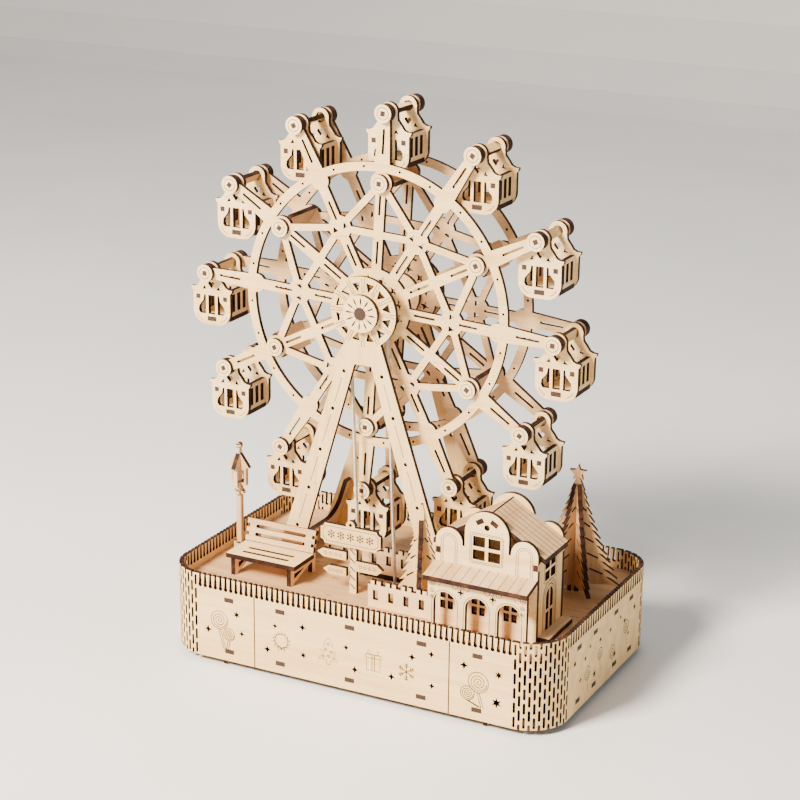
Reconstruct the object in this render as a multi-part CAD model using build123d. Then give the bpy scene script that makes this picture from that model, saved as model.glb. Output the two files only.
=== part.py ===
from build123d import *

# Laser-cut plywood Ferris wheel on a fenced fairground base.
# Millimetres, +Z up. X runs along the front wall, Y runs into the depth, and the
# origin is on the floor under the middle of the base. Every flat piece is cut from
# one thickness of ply and is held by tenons, so nearly all of them are made from a
# flat drawing that one of three functions stands up or lays down.

import os
from math import atan2, cos, degrees, hypot, pi, radians, sin, tan

# ---------------------------------------------------------------- driving sizes
PLY = 3.0  # thickness of every board

LENGTH = 260.0  # base, outside, along X
DEPTH = 161.0  # base, outside, along Y
CORNER_R = 24.5
WALL_BOTTOM = 4.0
PANEL_TOP = 49.5  # where the fence slots begin
FENCE_TOP = 58.0
SEAM_X = 65.5  # joints between the middle and the corner wall pieces
DECK = 45.8  # top of the deck
FLOOR_TOP = 11.8  # top of the bottom plate
PICKET_PITCH = 3.6
TENON_W = 6.5

AXLE_X = -28.0
AXLE_Z = 216.6
AXLE_R = 4.0
RUNNING = 0.06  # radial clearance of every turning fit
CABIN_COUNT = 12
CABIN_CIRCLE_R = 118.5
TIE_CIRCLE_R = 76.5
NODE_CIRCLE_R = 52.0
RIM_R = 85.8
RIM_W = 5.4
HUB_R = 24.0
WHEEL_TURN = -3.2  # degrees that the wheel stands turned from upright
FRONT_FACE_Y = 0.9  # front surface of the front wheel face
REAR_FACE_Y = 36.1
FRONT_FRAME_Y = -13.0
REAR_FRAME_Y = 50.0

FRAME_DISC_R = 22.0
LEG_OUT_TOP, LEG_OUT_FOOT = 13.5, 62.5  # half widths over the legs
LEG_IN_TOP, LEG_IN_FOOT = 3.0, 46.5
LEG_TOP_Z = 193.0

CAP_R = 5.5
PEG = 3.0  # side of the square pegs
ROD_W = 5.7  # flat rods that the cabins hang on
CABIN_BORE_R = 3.28
CABIN_W = 27.0
CABIN_EAVES_W = 30.0
CABIN_EAVES_DROP = 12.6
CABIN_DROP = 35.2
CABIN_FRONT_Y = 5.6
CABIN_REAR_Y = 30.5
SIDE_X = 8.4  # inner face of a cabin's side boards

PULLEY_R = 12.0
PULLEY_Y = -8.1  # front of the belt groove
FLANGE_R = 14.5
BELT_W = 2.6
BELT_T = 1.0
DRIVE_X = -20.0
DRIVE_Z = 27.0
SHAFT_R = 2.0

HOUSE_X = 74.5  # middle of the house
HOUSE_W = 65.0
HOUSE_FRONT_Y = -52.0
HOUSE_REAR_Y = -16.0
ARCADE_Y = -63.0
RIDGE_Z = 119.0
ROOF_SLOPE = 30.5  # degrees
WALL_EAVES_Z = 97.0


# ------------------------------------------------------------- small functions
def facing_front(drawing, y):
    """Board drawn in X and Z, from y to y + PLY."""
    return Pos(0, y + PLY, 0) * extrude(Plane.XZ * drawing, PLY, dir=(0, -1, 0))


def facing_side(drawing, x):
    """Board drawn in Y and Z, from x to x + PLY."""
    return Pos(x, 0, 0) * extrude(Plane.YZ * drawing, PLY, dir=(1, 0, 0))


def lying(drawing, z):
    """Board drawn in X and Y, from z to z + PLY."""
    return Pos(0, 0, z) * extrude(drawing, PLY, dir=(0, 0, 1))


def block(x0, x1, y0, y1, z0, z1):
    """Solid box between two corners."""
    return Pos(x0, y0, z0) * Box(x1 - x0, y1 - y0, z1 - z0, align=Align.MIN)


def area(x0, x1, y0, y1):
    """Rectangle between two corners of a drawing."""
    return Pos(x0, y0) * Rectangle(x1 - x0, y1 - y0, align=Align.MIN)


def bar(start, end, width):
    """Straight strip between two points of a drawing."""
    run, rise = end[0] - start[0], end[1] - start[1]
    middle = ((start[0] + end[0]) / 2, (start[1] + end[1]) / 2)
    return Pos(*middle) * Rot(0, 0, degrees(atan2(rise, run))) * Rectangle(hypot(run, rise), width)


def polar(radius, angle):
    """Point of a drawing at an angle in degrees."""
    return radius * cos(radians(angle)), radius * sin(radians(angle))


def outline(*points):
    """Closed outline through points given in either direction."""
    area_twice = sum(a[0] * b[1] - b[0] * a[1] for a, b in zip(points, points[1:] + points[:1]))
    return Polygon(*(points if area_twice > 0 else points[::-1]), align=None)


def star(tips, outer, inner):
    """Star with its first tip upwards."""
    radii = [outer, inner] * tips
    return outline(*[polar(r, 90 + 180 * i / tips) for i, r in enumerate(radii)])


def arch(width, bottom, top):
    """Upright opening or gable with a round head, on the line x = 0."""
    spring = top - width / 2
    return area(-width / 2, width / 2, bottom, spring) + Pos(0, spring) * Circle(width / 2)


def panes(width, height, muntin):
    """Four window panes round the point (0, 0)."""
    pane_w, pane_h = (width - muntin) / 2, (height - muntin) / 2
    step_x, step_z = (width + muntin) / 4, (height + muntin) / 4
    return [Pos(i * step_x, j * step_z) * Rectangle(pane_w, pane_h) for i in (-1, 1) for j in (-1, 1)]


def disc_y(x, z, radius, y0, y1):
    """Round disc or rod with its axis along Y."""
    return Pos(x, y1, z) * extrude(Plane.XZ * Circle(radius), y1 - y0)


def square_y(x, z, side, turn, y0, y1):
    """Square peg with its axis along Y, turned in its own plane."""
    return Pos(x, y1, z) * extrude(Plane.XZ * (Rot(0, 0, turn) * Rectangle(side, side)), y1 - y0)


PARTS = {}


def keep(name, *solids):
    """Store one named piece, or one group of separate solids."""
    PARTS[name] = solids[0] if len(solids) == 1 else Compound(children=list(solids))


# ------------------------------------------------------------------------ base
FRONT_TABS = (-83.4, -47.5, 0.0, 47.5, 83.4)
SIDE_TABS = (-41.0, -16.3, 16.3, 41.0)
TAB_ROWS = (DECK - PLY, FLOOR_TOP - PLY)


def fence_slot(at):
    """Slot between two pickets: a bulb at its foot and a narrow mouth at the fence top."""
    bulb_r = 1.3
    foot = PANEL_TOP + bulb_r
    neck = outline((at - 1.1, foot), (at + 1.1, foot), (at + 0.65, FENCE_TOP + 1),
                   (at - 0.65, FENCE_TOP + 1))
    return Pos(at, foot) * Circle(bulb_r) + neck


def fence_slots(start, end):
    """Evenly spaced fence slots between two points of a wall."""
    count = int((end - start) / PICKET_PITCH)
    pitch = (end - start) / count
    return [fence_slot(start + (i + 0.5) * pitch) for i in range(count)]


def tab_holes(places):
    """Holes that the deck's and the bottom plate's tenons come through."""
    return [area(at - TENON_W / 2, at + TENON_W / 2, z, z + PLY) for at in places for z in TAB_ROWS]


# Stars cut through the walls: place along the wall, height, tips and size.
MIDDLE_STARS = ((-51.0, 34.5, 4, 2.0), (-32.0, 37.5, 4, 2.6), (-56.5, 18.0, 4, 2.6), (-31.5, 19.5, 6, 2.4),
                (-2.3, 31.0, 4, 2.2), (3.6, 18.0, 4, 2.6), (28.0, 19.0, 4, 2.6), (41.5, 34.5, 4, 2.6),
                (54.0, 39.0, 4, 2.4), (54.5, 19.0, 4, 2.2))
LEFT_STARS = ((-78.0, 36.0, 6, 2.6), (-98.5, 22.5, 4, 2.8), (-74.5, 24.0, 4, 2.2))
RIGHT_STARS = ((75.0, 37.0, 4, 2.8), (97.0, 35.5, 6, 2.8), (96.0, 17.8, 6, 3.6))
SIDE_STARS = ((-47.0, 36.0, 6, 2.4), (-38.0, 22.0, 4, 2.0), (-31.0, 33.0, 4, 2.0), (-16.0, 17.0, 6, 2.6),
              (-8.0, 36.0, 4, 2.2), (-24.0, 38.0, 4, 1.8))


def stars(places):
    """Star holes of one stretch of wall."""
    return [Pos(at, z) * star(tips, size, 0.42 * size) for at, z, tips, size in places]


def through_front(holes):
    """Cutter for holes drawn in X and Z, through the front wall."""
    return Pos(0, -DEPTH / 2 + PLY + 1, 0) * extrude(Plane.XZ * (Sketch() + holes), PLY + 2)


def middle_wall(y, extra_holes):
    """Flat middle piece of the front or the back wall."""
    sheet = area(-SEAM_X, SEAM_X, WALL_BOTTOM, FENCE_TOP)
    tabs = tab_holes([t for t in FRONT_TABS if abs(t) < SEAM_X])
    return facing_front(sheet - fence_slots(-SEAM_X, SEAM_X) - tabs - extra_holes, y)


def living_hinge():
    """Long slots, staggered column by column, that let the corner bend.

    Every second column starts with half a slot that is open at the wall's edge.
    """
    pitch, rows, row_h = 2.75, 6, 9.0
    columns = int(CORNER_R * pi / 2 / pitch)
    slot = Rot(0, 0, 90) * SlotOverall(7.0, 1.6)
    cutter = extrude(Plane.YZ * slot, PLY + 2)
    centre_x, centre_y = LENGTH / 2 - CORNER_R, -DEPTH / 2 + CORNER_R
    cutters = []
    for column in range(columns):
        angle = -90 + 90 * (column + 0.5) / columns
        is_open = column % 2
        for row in range(rows + is_open):
            height = WALL_BOTTOM + row_h * (row + 0.5 - 0.5 * is_open)
            cutters.append(Pos(centre_x, centre_y, height) * Rot(0, 0, angle)
                           * Pos(CORNER_R - PLY - 1, 0, 0) * cutter)
    return cutters


def corner_wall():
    """Front right corner piece: flat front, bent corner, flat half of the side."""
    ring = RectangleRounded(LENGTH, DEPTH, CORNER_R)
    ring -= RectangleRounded(LENGTH - 2 * PLY, DEPTH - 2 * PLY, CORNER_R - PLY)
    height = FENCE_TOP - WALL_BOTTOM
    wall = Pos(0, 0, WALL_BOTTOM) * extrude(ring, height)
    wall &= block(SEAM_X, LENGTH / 2, -DEPTH / 2, 0, WALL_BOTTOM, FENCE_TOP)
    flat_x, flat_y = LENGTH / 2 - CORNER_R, -DEPTH / 2 + CORNER_R
    front = fence_slots(SEAM_X, flat_x) + tab_holes([t for t in FRONT_TABS if t > SEAM_X])
    side = fence_slots(flat_y, 0) + tab_holes([t for t in SIDE_TABS if t < 0])
    side += stars(SIDE_STARS)
    cut_side = Pos(LENGTH / 2 - PLY - 1, 0, 0) * extrude(Plane.YZ * (Sketch() + side), PLY + 2)
    return wall - through_front(front) - cut_side - living_hinge()


def make_base():
    """Walls, bottom plate, deck and the ribs that carry the deck."""
    key_hole = Pos(DRIVE_X, DRIVE_Z) * Circle(4)
    keep("front_wall", middle_wall(-DEPTH / 2, stars(MIDDLE_STARS)))
    keep("back_wall", middle_wall(DEPTH / 2 - PLY, [key_hole]))
    corner = corner_wall()
    keep("corner_front_right", corner - through_front(stars(RIGHT_STARS)))
    keep("corner_front_left", mirror(corner, Plane.YZ) - through_front(stars(LEFT_STARS)))
    keep("corner_back_right", mirror(corner, Plane.XZ))
    keep("corner_back_left", mirror(mirror(corner, Plane.XZ), Plane.YZ))

    board = RectangleRounded(LENGTH - 2 * PLY, DEPTH - 2 * PLY, CORNER_R - PLY)
    tab_centre_x, tab_centre_y = (LENGTH - PLY) / 2, (DEPTH - PLY) / 2
    board += [Pos(x, s * tab_centre_y) * Rectangle(TENON_W, PLY) for x in FRONT_TABS for s in (-1, 1)]
    board += [Pos(s * tab_centre_x, y) * Rectangle(PLY, TENON_W) for y in SIDE_TABS for s in (-1, 1)]
    rib_x, foot_w, foot_y = 88.0, 10.0, 72.5
    rib_feet = [area(s * rib_x - PLY / 2, s * rib_x + PLY / 2, y - foot_w / 2, y + foot_w / 2)
                for s in (-1, 1) for y in (-foot_y, foot_y)]
    cross_feet = [area(x - foot_w / 2, x + foot_w / 2, -PLY / 2, PLY / 2) for x in (-60.0, 0.0, 60.0)]
    keep("bottom_plate", lying(board - rib_feet - cross_feet, FLOOR_TOP - PLY))

    leg_slots = [area(x - 4, x + 4, y, y + PLY) for x in LEG_FEET for y in (FRONT_FRAME_Y, REAR_FRAME_Y)]
    belt_slot = area(DRIVE_X - 18, DRIVE_X + 18, PULLEY_Y - 2.4, PULLEY_Y + 5.4)
    keep("deck", lying(board - leg_slots - belt_slot, DECK - PLY))

    half = DEPTH / 2 - PLY
    rib = area(-half, half, FLOOR_TOP, DECK - PLY)
    rib += [area(y - foot_w / 2, y + foot_w / 2, 0, FLOOR_TOP) for y in (-foot_y, foot_y)]
    rib -= [Pos(y, DRIVE_Z) * Circle(10) for y in (-46.0, -20.0, 20.0, 46.0)]
    keep("left_rib", facing_side(rib, -rib_x - PLY / 2))
    keep("right_rib", facing_side(rib, rib_x - PLY / 2))
    cross = area(-rib_x + PLY / 2, rib_x - PLY / 2, FLOOR_TOP, DECK - PLY)
    cross += [area(x - foot_w / 2, x + foot_w / 2, 0, FLOOR_TOP) for x in (-60.0, 0.0, 60.0)]
    cross -= [Pos(x, DRIVE_Z) * Circle(10) for x in (-72.0, -46.0, 14.0, 40.0, 66.0)]
    cross -= Pos(DRIVE_X, DRIVE_Z) * Circle(SHAFT_R + RUNNING)
    keep("cross_rib", facing_front(cross, -PLY / 2))


# ----------------------------------------------------------------------- tower
LEG_FEET = (AXLE_X - (LEG_OUT_FOOT + LEG_IN_FOOT) / 2, AXLE_X + (LEG_OUT_FOOT + LEG_IN_FOOT) / 2)


def leg(side):
    """One tapered leg of an A frame; side is -1 for the left leg and 1 for the right."""
    shape = outline((side * LEG_IN_TOP, LEG_TOP_Z), (side * LEG_OUT_TOP, LEG_TOP_Z),
                    (side * LEG_OUT_FOOT, DECK), (side * LEG_IN_FOOT, DECK))
    middle_top = (side * (LEG_IN_TOP + LEG_OUT_TOP) / 2, LEG_TOP_Z)
    middle_foot = (side * (LEG_IN_FOOT + LEG_OUT_FOOT) / 2, DECK)

    def along(part):
        return tuple(a + part * (b - a) for a, b in zip(middle_top, middle_foot))

    dots = [Pos(*along(part)) * Circle(1.2) for part in (0.1, 0.27, 0.46, 0.64, 0.82)]
    return shape - dots


def bearing_disc():
    """Round head of an A frame with twelve triangular holes round the axle."""
    hole = outline(polar(13.0, 0), polar(18.6, 9), polar(18.6, -9))
    holes = [Rot(0, 0, 30 * i + 15) * hole for i in range(CABIN_COUNT)]
    return Circle(FRAME_DISC_R) - holes


def a_frame(y):
    """Front or rear A frame: head, two legs and the tenons that stand in the deck."""
    head = bearing_disc() - Circle(AXLE_R + RUNNING)
    frame = Pos(0, AXLE_Z) * head + leg(-1) + leg(1)
    neck_z, fork_z, fork_x = LEG_TOP_Z + 6, LEG_TOP_Z - 9.4, 5.9
    frame += outline((-11.5, neck_z), (11.5, neck_z), (LEG_OUT_TOP, LEG_TOP_Z), (fork_x, fork_z),
                     (-fork_x, fork_z), (-LEG_OUT_TOP, LEG_TOP_Z))
    frame += [area(x - AXLE_X - 4, x - AXLE_X + 4, DECK - PLY, DECK) for x in LEG_FEET]
    return facing_front(Pos(AXLE_X, 0) * frame, y)


def brace(side):
    """U-shaped board that ties the front leg to the rear leg on one side."""
    run = (LEG_OUT_FOOT + LEG_IN_FOOT) / 2 - (LEG_OUT_TOP + LEG_IN_TOP) / 2
    lean = atan2(run, LEG_TOP_Z - DECK)
    up = Vector(-side * sin(lean), 0, cos(lean))
    across = Vector(0, 1, 0)
    half = (REAR_FRAME_Y - FRONT_FRAME_Y - PLY) / 2
    middle_y = (REAR_FRAME_Y + FRONT_FRAME_Y + PLY) / 2
    arm_h, bar_h, arm_w = 40.0, 15.0, 7.0
    cut_w = 2 * (half - arm_w)
    base = area(-half, half, 2.0, arm_h)
    base -= Pos(0, bar_h + cut_w / 2) * RectangleRounded(cut_w, cut_w, 12)
    base -= area(-cut_w / 2, cut_w / 2, bar_h + cut_w / 2, arm_h + 1)
    base -= [Pos(i * 9, 9) * star(6, 2.6, 1.5) for i in (-1, 0, 1)]
    foot = Vector(LEG_FEET[0] if side < 0 else LEG_FEET[1], middle_y, DECK)
    plane = Plane(origin=foot, x_dir=across, z_dir=across.cross(up))
    return extrude(plane * base, PLY / 2, both=True)


def make_tower():
    """Two A frames and the two boards between them."""
    keep("front_a_frame", a_frame(FRONT_FRAME_Y))
    keep("rear_a_frame", a_frame(REAR_FRAME_Y))
    keep("left_brace", brace(-1))
    keep("right_brace", brace(1))


# ----------------------------------------------------------------------- wheel
def spoke_angle(index):
    """Direction of a spoke in degrees; even spokes carry the tie boards."""
    return 90 - 30 * index + WHEEL_TURN


SPOKES = [spoke_angle(i) for i in range(CABIN_COUNT)]
EVEN, ODD = SPOKES[0::2], SPOKES[1::2]
RIM_OUT = RIM_R + RIM_W / 2


def wheel_face():
    """Hub, spokes, lattice and rim of one side of the wheel, round the point (0, 0)."""
    solid = [Circle(HUB_R), Circle(RIM_OUT) - Circle(RIM_OUT - RIM_W)]
    holes = [Circle(AXLE_R)]
    spoke_w, slit_w, lattice_w = 6.4, 1.5, 4.2
    for angle in SPOKES:
        solid.append(bar(polar(HUB_R - 3, angle), polar(RIM_R, angle), spoke_w))
        holes.append(bar(polar(57, angle), polar(69, angle), slit_w))
        holes.append(bar(polar(27, angle), polar(41, angle), slit_w))
        holes.append(Pos(*polar(17.5, angle + 15)) * Rot(0, 0, angle + 15) * star(4, 3.2, 1.2))
        holes += [Pos(*polar(RIM_R, angle + shift)) * Circle(0.8) for shift in (-8, 8)]
    for angle in EVEN:
        solid.append(Pos(*polar(TIE_CIRCLE_R, angle)) * Circle(7))
        holes.append(Pos(*polar(TIE_CIRCLE_R, angle)) * Rot(0, 0, angle) * Rectangle(PEG, PEG))
        for shift in (-30, 30):
            solid.append(bar(polar(TIE_CIRCLE_R, angle), polar(NODE_CIRCLE_R, angle + shift), lattice_w))
    for angle in ODD:
        solid.append(Pos(*polar(NODE_CIRCLE_R, angle)) * Circle(7.5))
        solid.append(Pos(*polar(RIM_R - 3.5, angle)) * Circle(5.8))
        solid.append(bar(polar(NODE_CIRCLE_R, angle), polar(NODE_CIRCLE_R, angle + 60), lattice_w))
        for shift in (-5, 5):
            peak = Rot(0, 0, angle) * outline((2.2, shift * 0.8), (-1.6, shift * 0.36), (-1.6, shift * 1.1))
            holes.append(Pos(*polar(NODE_CIRCLE_R, angle)) * peak)
    return Sketch() + solid - holes


def wheel_arms():
    """Tapered arms from the rim to the cabin rods, round the point (0, 0)."""
    arms = []
    for angle in SPOKES:
        taper = outline((RIM_OUT - 1, -5), (CABIN_CIRCLE_R, -3.2), (CABIN_CIRCLE_R, 3.2), (RIM_OUT - 1, 5))
        arm = taper + Pos(CABIN_CIRCLE_R, 0) * Circle(CAP_R) - Pos(CABIN_CIRCLE_R, 0) * Rectangle(PEG, PEG)
        arm -= bar((94, 0), (109, 0), 1.5)
        arms.append(Rot(0, 0, angle) * (arm - Circle(RIM_OUT)))
    return arms


def cap(radius, angle, y):
    """Round cap with a square hole, on the end of a peg of the wheel."""
    x, z = polar(radius, angle)
    ring = Circle(CAP_R) - Rot(0, 0, angle) * Rectangle(PEG, PEG)
    return facing_front(Pos(AXLE_X + x, AXLE_Z + z) * ring, y)


def tie_board(angle):
    """Flat board across the wheel with a square peg at each end."""
    x, z = polar(TIE_CIRCLE_R, angle)
    x, z = AXLE_X + x, AXLE_Z + z
    gap0, gap1 = FRONT_FACE_Y + PLY, REAR_FACE_Y
    board = Pos(x, gap1, z) * extrude(Plane.XZ * (Rot(0, 0, angle) * Rectangle(PLY, 16)), gap1 - gap0)
    return board + square_y(x, z, PEG, angle, FRONT_FACE_Y - PLY, REAR_FACE_Y + 2 * PLY)


def cabin_rod(angle):
    """Flat rod between the wheel faces with a square peg at each end."""
    x, z = polar(CABIN_CIRCLE_R, angle)
    x, z = AXLE_X + x, AXLE_Z + z
    gap0, gap1 = FRONT_FACE_Y + PLY, REAR_FACE_Y
    rod = Pos(x, gap1, z) * extrude(Plane.XZ * (Rot(0, 0, angle) * Rectangle(PLY, ROD_W)), gap1 - gap0)
    return rod + square_y(x, z, PEG, angle, FRONT_FACE_Y - PLY, REAR_FACE_Y + 2 * PLY)


def ring_y(x, z, outer, inner, y0, y1):
    """Disc with a round hole and its axis along Y."""
    return disc_y(x, z, outer, y0, y1) - disc_y(x, z, inner, y0 - 1, y1 + 1)


def slitted_disc(y):
    """Small end disc of the axle with twelve radial slits."""
    slits = [bar(polar(6.2, 30 * i + WHEEL_TURN), polar(9.4, 30 * i + WHEEL_TURN), 1.0) for i in range(12)]
    return facing_front(Pos(AXLE_X, AXLE_Z) * (Circle(11.5) - slits - Circle(AXLE_R)), y)


def make_wheel():
    """Everything that turns with the big wheel, without the cabins."""
    place = Pos(AXLE_X, AXLE_Z)
    face = place * wheel_face()
    arms = [place * arm for arm in wheel_arms()]
    front_caps, rear_caps = FRONT_FACE_Y - PLY, REAR_FACE_Y + PLY
    keep("front_wheel_face", facing_front(face, FRONT_FACE_Y))
    keep("rear_wheel_face", facing_front(face, REAR_FACE_Y))
    keep("front_arms", *[facing_front(arm, FRONT_FACE_Y) for arm in arms])
    keep("rear_arms", *[facing_front(arm, REAR_FACE_Y) for arm in arms])
    keep("tie_boards", *[tie_board(angle) for angle in EVEN])
    keep("cabin_rods", *[cabin_rod(angle) for angle in SPOKES])
    capped = [(TIE_CIRCLE_R, angle) for angle in EVEN] + [(CABIN_CIRCLE_R, angle) for angle in SPOKES]
    keep("peg_caps", *[cap(radius, angle, y) for radius, angle in capped for y in (front_caps, rear_caps)])
    end_y = FRONT_FRAME_Y - PLY - 1, REAR_FRAME_Y + PLY + 1
    keep("wheel_axle", disc_y(AXLE_X, AXLE_Z, AXLE_R, end_y[0], end_y[1] + PLY))
    hub = [(9, front_caps, FRONT_FACE_Y), (14, FRONT_FACE_Y + PLY, FRONT_FACE_Y + 2 * PLY),
           (14, REAR_FACE_Y - PLY, REAR_FACE_Y), (9, REAR_FACE_Y + PLY, REAR_FRAME_Y - 0.5)]
    spacers = [ring_y(AXLE_X, AXLE_Z, radius, AXLE_R, y0, y1) for radius, y0, y1 in hub]
    keep("hub_discs", slitted_disc(end_y[0]), slitted_disc(end_y[1]), *spacers)
    keep("wheel_pulley", *pulley(AXLE_X, AXLE_Z, AXLE_R))


# ---------------------------------------------------------------------- cabins
def mirrored(*points):
    """Closed outline through points on the right and their mirror images on the left."""
    return outline(*points, *[(-x, z) for x, z in points[::-1]])


def heart(size):
    """Heart with its point down."""
    lobes = [Pos(s * size / 4, 0) * Circle(size / 4 * 1.08) for s in (-1, 1)]
    return mirrored((size * 0.5, -size * 0.08), (0.01, -size * 0.72)) + lobes


def cabin_face():
    """Front or rear board of a cabin, hanging below the point (0, 0)."""
    body_h = 2 * CABIN_DROP
    eaves_z, tip_x, half = -CABIN_EAVES_DROP, CABIN_EAVES_W / 2, CABIN_W / 2
    body = RectangleRounded(CABIN_W, body_h, 9) & area(-CABIN_W, CABIN_W, -body_h / 2, eaves_z)
    gable = mirrored((5.6, -1.0), (6.0, -4.6), (8.2, -7.4), (10.2, -10.2), (12.4, -11.2), (tip_x, -11.4),
                     (tip_x - 0.6, eaves_z - 0.6), (half, eaves_z - 1.4))
    board = body + gable + Circle(CAP_R + 0.3) - Circle(CABIN_BORE_R)
    window_top, window_foot = -16.0, -28.4
    holes = [area(-2.5, 2.5, window_foot, window_top), Pos(0, -31.4) * Rectangle(TENON_W, PLY)]
    holes.append(Pos(0, -8.4) * heart(4.4))
    for side in (-1, 1):
        corners = ((4.3, window_top), (5.5, window_top), (6.1, -19.6), (9.4, -23.6), (9.8, -26.6),
                   (8.6, window_foot), (4.3, window_foot))
        holes.append(outline(*[(side * x, z) for x, z in corners]))
        holes.append(Pos(side * (SIDE_X + PLY / 2), -17.6) * Rectangle(PLY, PLY))
        holes.append(outline((side * 3.8, -12.2), (side * 6.8, -12.6), (side * 4.9, -9.8)))
    return board - holes


def make_cabin():
    """One cabin as separate boards, hanging below the point (0, 0) of X and Z."""
    inner0, inner1 = CABIN_FRONT_Y + PLY, CABIN_REAR_Y
    middle = (inner0 + inner1) / 2
    floor_z, side_h = -32.9, 16.6
    side = area(inner0, inner1, floor_z + PLY, floor_z + PLY + side_h)
    side += [area(y, y + PLY, -19.1, -16.1) for y in (inner0 - PLY, inner1)]
    side -= [Pos(middle + i * 6.4, floor_z + PLY + side_h / 2) * Rectangle(3.8, 11.5) for i in (-1, 0, 1)]
    floor = area(-SIDE_X - PLY, SIDE_X + PLY, inner0, inner1)
    floor += area(-TENON_W / 2, TENON_W / 2, inner0 - PLY, inner1 + PLY)
    face = cabin_face()
    return [facing_front(face, CABIN_FRONT_Y), facing_front(face, CABIN_REAR_Y),
            facing_side(side, -SIDE_X - PLY), facing_side(side, SIDE_X), lying(floor, floor_z)]


def make_cabins():
    """Twelve equal cabins, each on its own rod."""
    boards = make_cabin()
    for index, angle in enumerate(SPOKES):
        x, z = polar(CABIN_CIRCLE_R, angle)
        keep(f"cabin_{index + 1:02d}", *[Pos(AXLE_X + x, 0, AXLE_Z + z) * board for board in boards])


# ----------------------------------------------------------------------- drive
def pulley(x, z, bore):
    """Belt pulley built of three discs: thin front flange, groove and rear flange."""
    front = ring_y(x, z, FLANGE_R, bore, PULLEY_Y - PLY / 2, PULLEY_Y)
    groove = ring_y(x, z, PULLEY_R, bore, PULLEY_Y, PULLEY_Y + PLY)
    rear = ring_y(x, z, FLANGE_R, bore, PULLEY_Y + PLY, PULLEY_Y + 2 * PLY)
    return front, groove, rear


def make_drive():
    """Spring movement in the base, its key, the lower pulley and the belt."""
    keep("drive_pulley", *pulley(DRIVE_X, DRIVE_Z, SHAFT_R))
    unit_y0, unit_y1 = 46.0, 74.0
    keep("drive_shaft", disc_y(DRIVE_X, DRIVE_Z, SHAFT_R, PULLEY_Y - PLY / 2, unit_y0 + 6))
    unit = block(DRIVE_X - 20, DRIVE_X + 20, unit_y0, unit_y1, FLOOR_TOP, DECK - PLY - 1)
    unit -= disc_y(DRIVE_X, DRIVE_Z, SHAFT_R + RUNNING, unit_y0 - 1, unit_y0 + 7)
    unit -= disc_y(DRIVE_X, DRIVE_Z, SHAFT_R + RUNNING, unit_y1 - 7, unit_y1 + 1)
    keep("spring_movement", unit)
    wings = Circle(4.5) + [Pos(s * 8, 0) * Circle(6) - Pos(s * 8.5, 0) * Circle(2.5) for s in (-1, 1)]
    key_y = DEPTH / 2 + 1.5
    key = disc_y(DRIVE_X, DRIVE_Z, SHAFT_R, unit_y1 - 6, key_y)
    keep("winding_key", key + facing_front(Pos(DRIVE_X, DRIVE_Z) * wings, key_y))

    rise, run = AXLE_Z - DRIVE_Z, AXLE_X - DRIVE_X
    spread = hypot(rise, run)
    inside = 2 * (PULLEY_R + 0.05)
    loop = SlotCenterToCenter(spread, inside + 2 * BELT_T) - SlotCenterToCenter(spread, inside)
    middle = ((AXLE_X + DRIVE_X) / 2, (AXLE_Z + DRIVE_Z) / 2)
    loop = Pos(*middle) * Rot(0, 0, degrees(atan2(rise, run))) * loop
    belt_y = PULLEY_Y + (PLY - BELT_W) / 2
    keep("belt", Pos(0, belt_y + BELT_W, 0) * extrude(Plane.XZ * loop, BELT_W))


# --------------------------------------------------------------------- scenery
def make_bench():
    """Park bench: two side frames, a slotted seat and a leaning back."""
    x0, x1 = -105.0, -56.0
    front_y, rear_y, seat_z = -47.5, -17.0, 57.0
    frame = area(front_y, front_y + 4, DECK, seat_z) + area(rear_y - 4, rear_y, DECK, seat_z + 4)
    frame += area(front_y, rear_y - 4, seat_z - 4, seat_z)
    frame += bar((rear_y - 2.5, seat_z), (rear_y + 2.5, seat_z + 16), 4)
    frame += bar((front_y + 3, DECK + 2), (rear_y - 3, seat_z - 2), 2.4)
    keep("bench_frames", facing_side(frame, x0 + 3), facing_side(frame, x1 - 3 - PLY))
    seat = area(x0, x1, front_y - 1, rear_y - 7)
    seat -= [Pos((x0 + x1) / 2, front_y + at) * SlotOverall(x1 - x0 - 16, 2.4) for at in (6.0, 13.0)]
    keep("bench_seat", lying(seat, seat_z))
    length = x1 - x0
    back = area(0, length, 0, 14)
    for z in (4.4, 9.6):
        back -= [Pos(length / 2, z) * SlotOverall(length - 13, 2.2)]
        back -= [Pos(end, z) * Rectangle(4.4, 2.2) for end in (0, length)]
    lean = Plane(origin=(x0, rear_y - 5.6, seat_z + PLY), x_dir=(1, 0, 0), z_dir=(0, -cos(0.3), sin(0.3)))
    keep("bench_back", extrude(lean * back, PLY))


def crossed(full, half, turn, x, y, start, halves=(90, -90)):
    """Upright board through a centre line, with half boards butted against it."""
    def stand(drawing, angle):
        return Pos(x, y, DECK) * Rot(0, 0, angle) * extrude(Plane.XZ * drawing, PLY / 2, both=True)

    pieces = [stand(full, turn)]
    for angle in halves:
        cut = half & area(start, 200, 0, 200)
        pieces.append(stand(cut, turn + angle))
    return pieces


def fir(height, reach, tiers):
    """Full outline of a fir board: saw-toothed edges, and slits between some branches."""
    points, slits = [], []
    for tier in range(tiers):
        part = (tier + 1) / tiers
        z = height * (0.94 - 0.87 * part)
        tip = reach * (0.12 + 0.88 * part ** 1.25)
        points += [(tip, z), (tip * 0.72, z + height * 0.012)]
        if tier > 2 and tier % 2:
            slits += [bar((s * tip * 0.34, z + 5.0), (s * tip * 0.66, z + 2.4), 1.1) for s in (-1, 1)]
    return mirrored((0.6, height), *points, (reach * 0.16, height * 0.06), (reach * 0.16, 0)) - slits


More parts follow.
